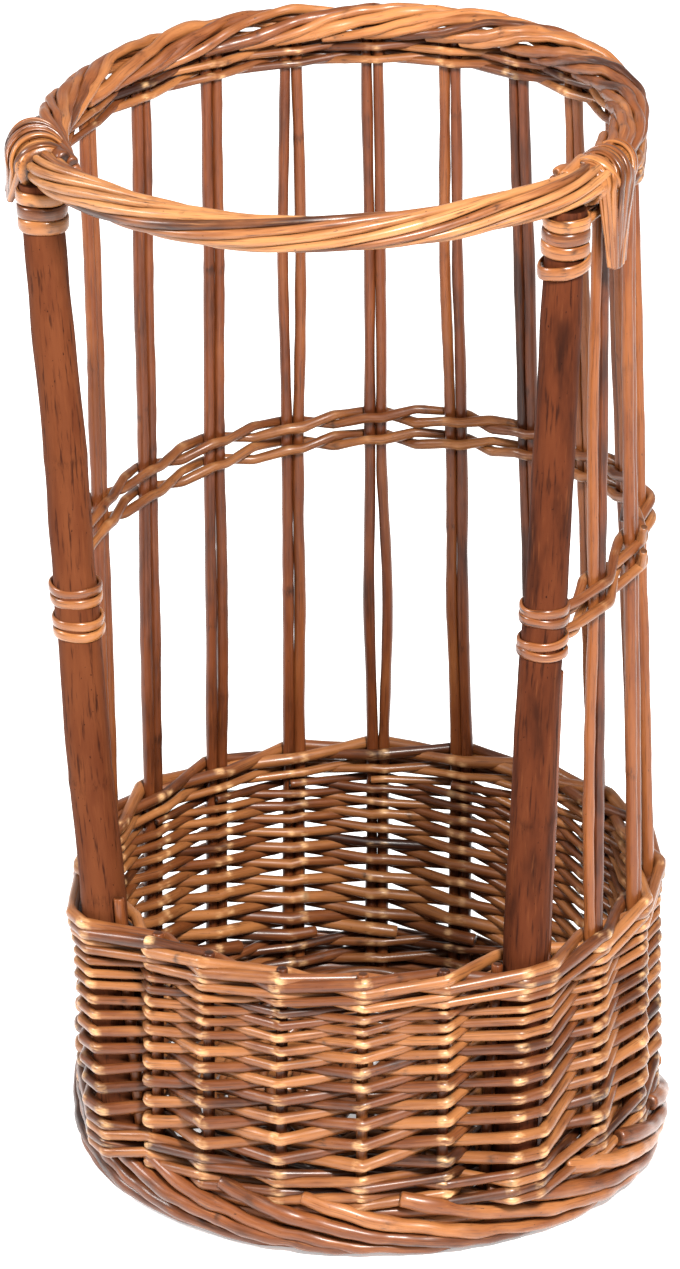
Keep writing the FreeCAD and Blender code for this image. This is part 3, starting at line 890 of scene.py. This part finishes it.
# ---------------------------------------------------------------- bindings
def turn_on_post(bundle, side, z, half_width, thick, tilt, gap=0.0):
    """One flat turn of skein round a post, its ends lapping at the back."""
    middle = post_point(side, z)
    axis = (post_point(side, z + 10.0) - middle).normalized()
    out, along = directions(middle)
    radius = post_radius(side, z) + thick + gap
    start = math.radians(180.0 - WRAP_LAP / 2.0)
    row = []
    ups = []
    for k in range(64):
        a = start + TAU * (1.0 + WRAP_LAP / 360.0) * k / 63.0
        ray = out * math.cos(a) + along * math.sin(a)
        wave = tilt * math.sin(a + 0.6) + 0.25 * math.sin(3.0 * a + z)
        row.append(middle + ray * (radius + 0.15 * math.sin(2.0 * a + z)) + axis * wave)
        ups.append(ray)
    bundle.rod(row, half_width, sides=12, ups=ups, flat=thick / half_width, rough=0.05, rub_and_highlight=0.0, blunt=0.1,
               marks=45.0)


def build_bindings():
    for side, name in ((-1, "left"), (1, "right")):
        bundle = Bundle()
        z0 = band_wrap_height(side)
        for level in BAND_WRAPS:
            turn_on_post(bundle, side, z0 + level, 2.3, 1.0, rng.uniform(-0.8, 0.8))
        bundle.build("band_skein_" + name, SKEIN, "band_wrap_" + name)
        bundle = Bundle()
        top = post_top(side)
        for drop in HEAD_WRAPS:
            turn_on_post(bundle, side, top - drop, 3.35, 1.0, rng.uniform(-0.5, 0.5), gap=0.1)
        if side > 0:
            turn_on_post(bundle, side, top - LOOSE_WRAP, 3.2, 0.9, 2.4, gap=1.2)
        bundle.build("head_skein_" + name, SKEIN, "head_wrap_" + name)
        bundle = Bundle()
        build_cap(bundle, side)
        bundle.build("cap_skein_" + name, SKEIN, "cap_binding_" + name)


def build_cap(bundle, side):
    """Narrow strips of skein over the joint of border and bar, gathered in a tail outside the post."""
    middle, spread, outwards, up, rho, (tail_r, tail_phi, tail_z) = CAPS[side]

    def centre_at(phi):
        a = math.radians(phi)
        return rim_point(phi) + Vector((outwards * math.sin(a), -outwards * math.cos(a), up))

    core = [centre_at(middle + side * spread * (k / 12.0 - 0.5)) for k in range(13)]
    bundle.rod(core, rho - 0.9, sides=24, rub_and_highlight=0.0, blunt=0.5, rough=0.02)
    for k in range(CAP_TURNS):
        t = k / (CAP_TURNS - 1.0) - 0.5
        phi = middle + side * spread * t
        skew = rng.uniform(-2.6, 2.6)
        layer = rho * (1.0 - 0.35 * abs(2.0 * t) ** 3) + (0.0, 0.8, 0.3)[k % 3] + rng.uniform(0.0, 0.6)
        row = []
        for j in range(44):
            b = math.radians(250.0 - 262.0 * j / 43.0)
            at = phi + side * skew * math.sin(b)
            a = math.radians(at)
            out = Vector((math.sin(a), -math.cos(a), 0.0))
            rise = Vector((0.0, 0.0, layer * math.sin(b)))
            row.append(centre_at(at) + out * (layer * math.cos(b)) + rise)
        tail = polar(tail_r + 0.5 * (k % 3), tail_phi + side * t * 4.4, tail_z + 10.0 * t * t)
        row.extend(row[-1].lerp(tail, j / 12.0) for j in range(1, 13))
        centre = centre_at(phi)
        ups = [(q - centre).normalized() for q in row]
        bundle.rod(row, 1.75, sides=10, ups=ups, flat=0.5, rough=0.12, rub_and_highlight=0.2, blunt=0.3, marks=30.0)


# ---------------------------------------------------------------- stage, light, camera
def build_floor():
    mesh = bpy.data.meshes.new("floor")
    mesh.from_pydata([(-6.0, -6.0, 0.0), (6.0, -6.0, 0.0), (6.0, 6.0, 0.0), (-6.0, 6.0, 0.0)], [],
                     [(0, 1, 2, 3)])
    floor = bpy.data.objects.new("floor", mesh)
    bpy.context.scene.collection.objects.link(floor)
    paper = bpy.data.materials.new("paper")
    paper.use_nodes = True
    shader = paper.node_tree.nodes["Principled BSDF"]
    shader.inputs["Base Color"].default_value = (0.93, 0.925, 0.935, 1.0)
    shader.inputs["Roughness"].default_value = 0.9
    shader.inputs["Emission Color"].default_value = (1.0, 1.0, 1.0, 1.0)
    shader.inputs["Emission Strength"].default_value = 0.4
    mesh.materials.append(paper)


def build_lamp(name, azimuth, elevation, distance, size, power, colour):
    """A round soft light that shines at the middle of the stand."""
    a = math.radians(azimuth)
    e = math.radians(elevation)
    aim = Vector((0.0, 0.0, 0.27))
    spot = aim + distance * Vector((math.sin(a) * math.cos(e), -math.cos(a) * math.cos(e), math.sin(e)))
    light = bpy.data.lights.new(name, "AREA")
    light.shape = "DISK"
    light.size = size
    light.energy = power
    light.color = colour
    thing = bpy.data.objects.new(name, light)
    thing.location = spot
    thing.rotation_euler = (aim - spot).to_track_quat("-Z", "Y").to_euler()
    bpy.context.scene.collection.objects.link(thing)


def build_light():
    """White surroundings, a key light from the front right and a softer one from the left."""
    world = bpy.data.worlds.new("studio")
    bpy.context.scene.world = world
    world.use_nodes = True
    sky = world.node_tree.nodes["Background"]
    sky.inputs["Color"].default_value = (1.0, 1.0, 1.0, 1.0)
    sky.inputs["Strength"].default_value = 0.60
    bpy.context.scene.view_settings.view_transform = "Standard"
    build_lamp("key", 28.0, 45.0, 2.2, 0.5, 165.0, (1.0, 0.98, 0.95))
    build_lamp("side", -75.0, 30.0, 2.4, 0.7, 65.0, (1.0, 0.99, 0.98))


def build_camera():
    """Looks down at the stand from in front and a little to its right."""
    azimuth = math.radians(11.0)
    elevation = math.radians(23.5)
    distance = 4.637
    right = Vector((math.cos(azimuth), math.sin(azimuth), 0.0))
    flat = Vector((math.sin(azimuth), -math.cos(azimuth), 0.0))
    aim = FOOT_MIDDLE * 0.001 + Vector((0.0, 0.0, 0.269)) - right * 0.0138
    back = flat * math.cos(elevation) + Vector((0.0, 0.0, math.sin(elevation)))
    camera = bpy.data.cameras.new("camera")
    camera.sensor_fit = "VERTICAL"
    camera.sensor_height = 36.0
    camera.lens = 268.07
    camera.clip_end = 50.0
    eye = bpy.data.objects.new("camera", camera)
    eye.location = aim + back * distance
    eye.rotation_euler = (-back).to_track_quat("-Z", "Y").to_euler()
    bpy.context.scene.collection.objects.link(eye)
    bpy.context.scene.camera = eye


build_posts()
build_stakes()
build_liners()
build_foot()
build_base()
build_wales()
build_randing()
build_band()
build_rim()
build_bindings()
build_floor()
build_light()
build_camera()
